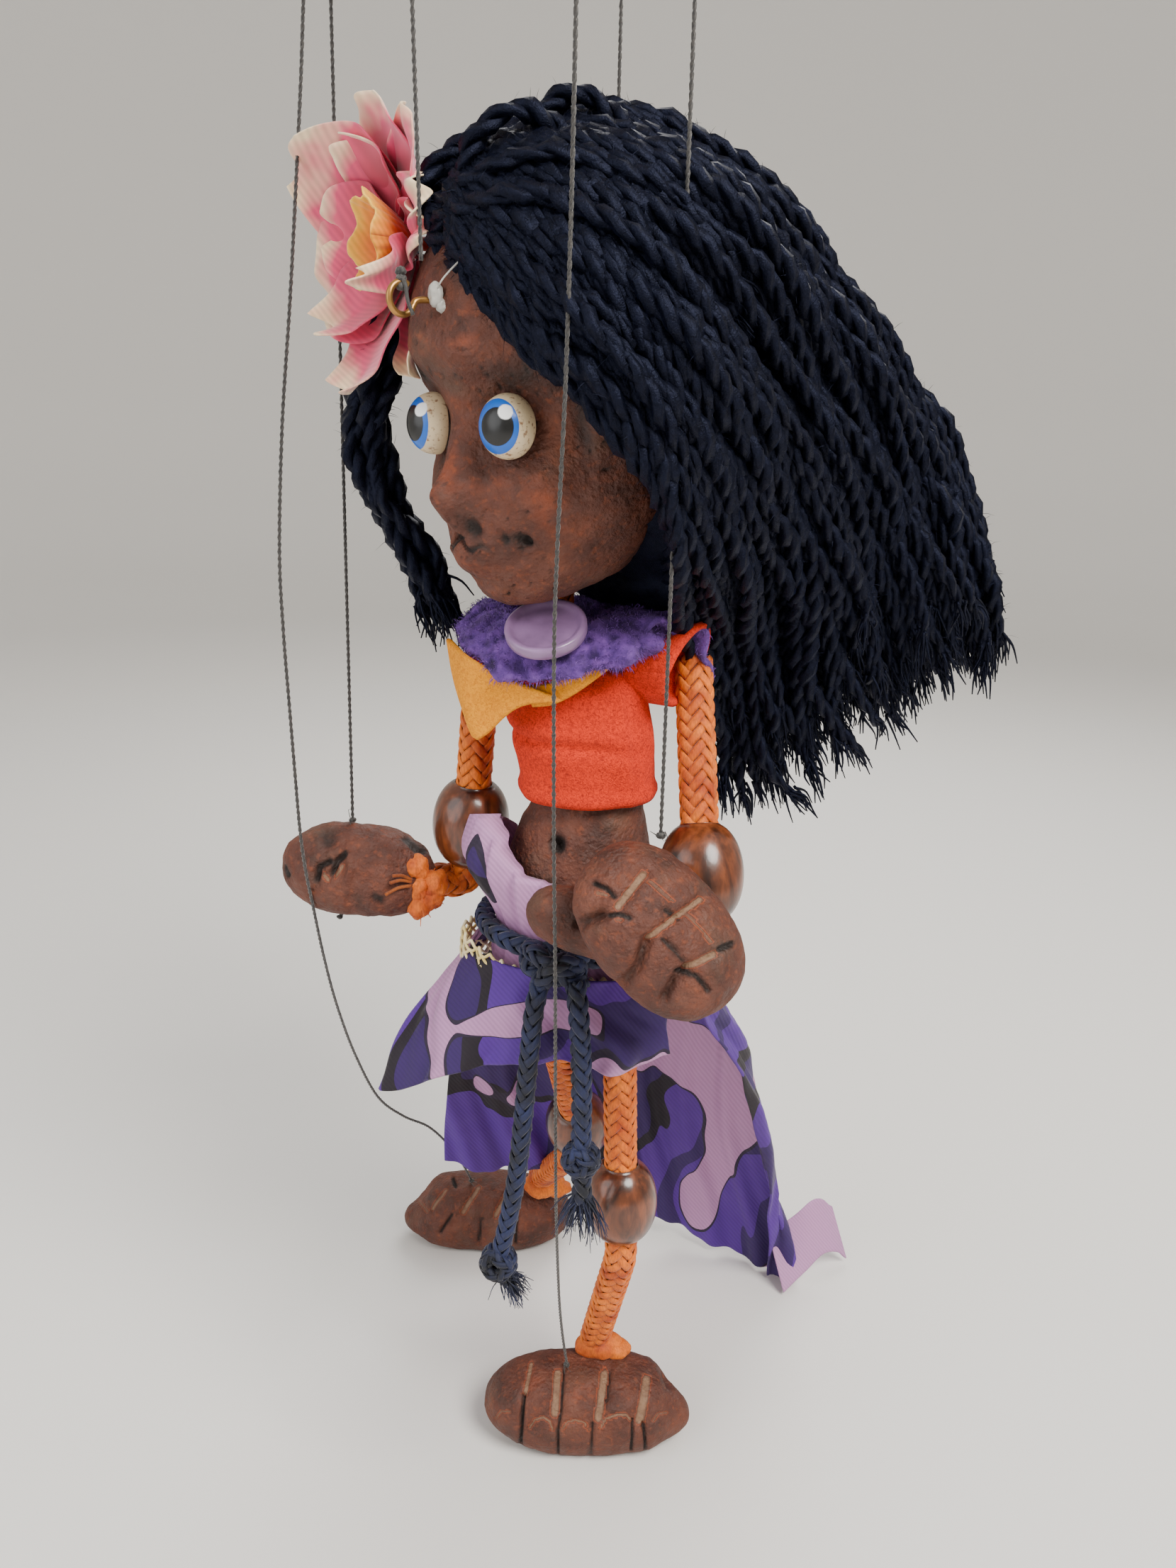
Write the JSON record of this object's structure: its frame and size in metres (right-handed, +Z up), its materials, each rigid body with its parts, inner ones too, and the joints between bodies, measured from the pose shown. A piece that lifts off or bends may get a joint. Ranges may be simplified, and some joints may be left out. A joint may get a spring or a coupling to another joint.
{
  "type": "marionette puppet",
  "caption": "String marionette: a jointed dancer with moulded head, hands and feet, cord limbs with wooden beads, yarn hair and a cloth skirt, hung from a wooden hand control.",
  "frame": {"origin": "middle of the top face of the control's main bar, where a hand or hook holds the marionette", "axes": "+Z up, out of the control's top face; the puppet's chest faces -Y and +X is the puppet's left"},
  "size_m": [0.1825, 0.1841, 0.4441],
  "materials": {
    "control_wood": "clear varnished pale hardwood",
    "steel": "zinc plated screws and screw eyes",
    "brass_wire": "aged brass coloured wire",
    "clay": "terracotta-like moulding composition, matt, dry-brushed with a warmer red brown",
    "eye_paint": "cream half balls with painted blue irises, black pupils and a white glint",
    "yarn": "two-ply black yarn, a little fluffy",
    "petal_silk": "ribbed artificial silk, rose pink fading to cream at the tips",
    "cup_silk": "artificial silk, yellow to orange",
    "limb_cord": "braided orange cord, slightly shiny",
    "bead_wood": "dark stained and varnished wooden beads",
    "string": "thin black twisted thread",
    "red_felt": "orange red felt",
    "yellow_felt": "golden yellow felt",
    "chenille": "purple chenille",
    "button_plastic": "pearly lilac plastic",
    "skirt_print": "woven cotton printed with lilac, purple and near-black patches",
    "lace": "cream and yellow lace edging",
    "belt_cord": "dark navy braided cord"
  },
  "bodies": {
    "root": {"control_main_bar": "control_wood", "control_hand_bar": "control_wood", "control_leg_bar": "control_wood", "hand_bar_screw": "steel", "leg_bar_screw": "steel", "front_screw_eye": "steel", "rear_screw_eye": "steel", "torso": "clay", "neck_cord": "limb_cord", "felt_top": "red_felt", "yellow_scarf": "yellow_felt", "purple_collar": "chenille", "collar_button": "button_plastic", "skirt_front_ruffle": "skirt_print", "skirt_train": "skirt_print", "waist_sash": "skirt_print", "petticoat_lace": "lace", "belt_cord": "belt_cord"},
    "head": {"head": "clay", "left_eye": "eye_paint", "right_eye": "eye_paint", "forehead_hook": "brass_wire", "crown_hook": "brass_wire", "hair_crown": "yarn", "hair_mane": "yarn", "hair_right_lock": "yarn", "flower_outer_petals": "petal_silk", "flower_inner_petals": "petal_silk", "flower_cup": "cup_silk", "flower_stem": "cup_silk"},
    "front_head_string": {"front_head_string": "string"},
    "rear_head_string": {"rear_head_string": "string"},
    "left_hand_string": {"left_hand_string": "string", "left_hand_pull_bead": "bead_wood"},
    "left_upper_arm": {"left_upper_arm_cord": "limb_cord", "left_elbow_bead": "bead_wood"},
    "left_forearm": {"left_forearm_cord": "limb_cord"},
    "left_hand": {"left_hand": "clay"},
    "left_leg_string": {"left_leg_string": "string", "left_leg_pull_bead": "bead_wood"},
    "left_thigh": {"left_thigh_cord": "limb_cord", "left_knee_bead": "bead_wood"},
    "left_shin": {"left_shin_cord": "limb_cord"},
    "left_foot": {"left_foot": "clay"},
    "right_hand_string": {"right_hand_string": "string", "right_hand_pull_bead": "bead_wood"},
    "right_upper_arm": {"right_upper_arm_cord": "limb_cord", "right_elbow_bead": "bead_wood"},
    "right_forearm": {"right_forearm_cord": "limb_cord"},
    "right_hand": {"right_hand": "clay"},
    "right_leg_string": {"right_leg_string": "string", "right_leg_pull_bead": "bead_wood"},
    "right_thigh": {"right_thigh_cord": "limb_cord", "right_knee_bead": "bead_wood"},
    "right_shin": {"right_shin_cord": "limb_cord"},
    "right_foot": {"right_foot": "clay"},
    "right_belt_tail": {"right_belt_tail": "belt_cord"},
    "left_belt_tail": {"left_belt_tail": "belt_cord"}
  },
  "joints": [
    {"name": "head_turn", "type": "hinge", "parent": "root", "child": "head", "pos_m": [-0.0059, -0.0146, -0.172], "axis": [0, 0, 1], "range_deg": [-8, 18], "stiffness_Nm_per_rad": 0.03},
    {"name": "front_head_string_swing", "type": "hinge", "parent": "root", "child": "front_head_string", "pos_m": [-0.0234, -0.0536, -0.0187], "axis": [-0.3609, -0.9326, 0], "range_deg": [-4.18, 9.26]},
    {"name": "rear_head_string_swing", "type": "hinge", "parent": "root", "child": "rear_head_string", "pos_m": [0.0008, 0.0018, -0.0187], "axis": [0.3782, 0.9257, 0], "range_deg": [-2.55, 5.65]},
    {"name": "left_hand_string_pull", "type": "slide", "parent": "root", "child": "left_hand_string", "axis": [0, 0, 1], "range_m": [0, 0.011], "deforming": ["left_forearm_cord", "left_leg_string"]},
    {"name": "left_shoulder", "type": "hinge", "parent": "root", "child": "left_upper_arm", "pos_m": [0.0247, -0.0031, -0.19], "axis": [-0.9972, -0.0753, 0], "range_deg": [0, 12.3]},
    {"name": "left_elbow", "type": "hinge", "parent": "left_upper_arm", "child": "left_forearm", "pos_m": [0.03582, -0.02845, -0.25047], "axis": [-0.9972, -0.0753, 0], "range_deg": [0, 20.11]},
    {"name": "left_wrist", "type": "hinge", "parent": "left_forearm", "child": "left_hand", "pos_m": [0.0376, -0.0361, -0.25], "axis": [-0.9972, -0.0753, 0], "range_deg": [-11.35, 0]},
    {"name": "left_leg_string_pull", "type": "slide", "parent": "root", "child": "left_leg_string", "axis": [0, 0, 1], "range_m": [0, 0.012], "deforming": ["left_leg_string", "skirt_front_ruffle", "skirt_train"]},
    {"name": "left_hip", "type": "hinge", "parent": "root", "child": "left_thigh", "pos_m": [0.0101, -0.0056, -0.292], "axis": [-0.9564, -0.2921, 0], "range_deg": [0, 15.43]},
    {"name": "left_knee", "type": "hinge", "parent": "left_thigh", "child": "left_shin", "pos_m": [0.0131, -0.00778, -0.35722], "axis": [-0.9564, -0.2921, 0], "range_deg": [-40.05, 0]},
    {"name": "left_ankle", "type": "hinge", "parent": "left_shin", "child": "left_foot", "pos_m": [0.0021, 0.0069, -0.4], "axis": [-0.9564, -0.2921, 0], "range_deg": [0, 18.46]},
    {"name": "right_hand_string_pull", "type": "slide", "parent": "root", "child": "right_hand_string", "axis": [0, 0, 1], "range_m": [0, 0.009], "deforming": ["right_forearm_cord", "right_leg_string"]},
    {"name": "right_shoulder", "type": "hinge", "parent": "root", "child": "right_upper_arm", "pos_m": [-0.0272, -0.0096, -0.191], "axis": [-0.2654, 0.9641, 0], "range_deg": [0, 5.69]},
    {"name": "right_elbow", "type": "hinge", "parent": "right_upper_arm", "child": "right_forearm", "pos_m": [-0.03375, -0.00542, -0.25231], "axis": [-0.2654, 0.9641, 0], "range_deg": [0, 18.45]},
    {"name": "right_wrist", "type": "hinge", "parent": "right_forearm", "child": "right_hand", "pos_m": [-0.0424, -0.0096, -0.2515], "axis": [-0.2654, 0.9641, 0], "range_deg": [-8.45, 0]},
    {"name": "right_leg_string_pull", "type": "slide", "parent": "root", "child": "right_leg_string", "axis": [0, 0, 1], "range_m": [0, 0.012], "deforming": ["right_leg_string", "skirt_front_ruffle", "skirt_train"]},
    {"name": "right_hip", "type": "hinge", "parent": "root", "child": "right_thigh", "pos_m": [-0.0089, -0.0046, -0.292], "axis": [0.802, 0.5973, 0], "range_deg": [-10.38, 0]},
    {"name": "right_knee", "type": "hinge", "parent": "right_thigh", "child": "right_shin", "pos_m": [-0.01275, 0.03907, -0.3575], "axis": [0.802, 0.5973, 0], "range_deg": [0, 29.11]},
    {"name": "right_ankle", "type": "hinge", "parent": "right_shin", "child": "right_foot", "pos_m": [-0.0401, 0.0765, -0.4], "axis": [0.802, 0.5973, 0], "range_deg": [-11.24, 0]},
    {"name": "right_belt_tail_swing", "type": "hinge", "parent": "root", "child": "right_belt_tail", "pos_m": [-0.0005, -0.0441, -0.2653], "axis": [1, 0, 0], "range_deg": [-14, 2]},
    {"name": "left_belt_tail_swing", "type": "hinge", "parent": "root", "child": "left_belt_tail", "pos_m": [0.0104, -0.0441, -0.2653], "axis": [1, 0, 0], "range_deg": [-14, 2]}
  ],
  "couplings": [
    {"joint": "front_head_string_swing", "follows": "head_turn", "ratio": 0.498},
    {"joint": "rear_head_string_swing", "follows": "head_turn", "ratio": 0.3039},
    {"joint": "left_shoulder", "follows": "left_hand_string_pull", "rad_per_m": 18.771},
    {"joint": "left_elbow", "follows": "left_hand_string_pull", "rad_per_m": 30.688},
    {"joint": "left_wrist", "follows": "left_hand_string_pull", "rad_per_m": -17.311},
    {"joint": "left_hip", "follows": "left_leg_string_pull", "rad_per_m": 21.582},
    {"joint": "left_knee", "follows": "left_leg_string_pull", "rad_per_m": -56.012},
    {"joint": "left_ankle", "follows": "left_leg_string_pull", "rad_per_m": 25.822},
    {"joint": "right_shoulder", "follows": "right_hand_string_pull", "rad_per_m": 10.607},
    {"joint": "right_elbow", "follows": "right_hand_string_pull", "rad_per_m": 34.395},
    {"joint": "right_wrist", "follows": "right_hand_string_pull", "rad_per_m": -15.751},
    {"joint": "right_hip", "follows": "right_leg_string_pull", "rad_per_m": -14.516},
    {"joint": "right_knee", "follows": "right_leg_string_pull", "rad_per_m": 40.707},
    {"joint": "right_ankle", "follows": "right_leg_string_pull", "rad_per_m": -15.715}
  ]
}
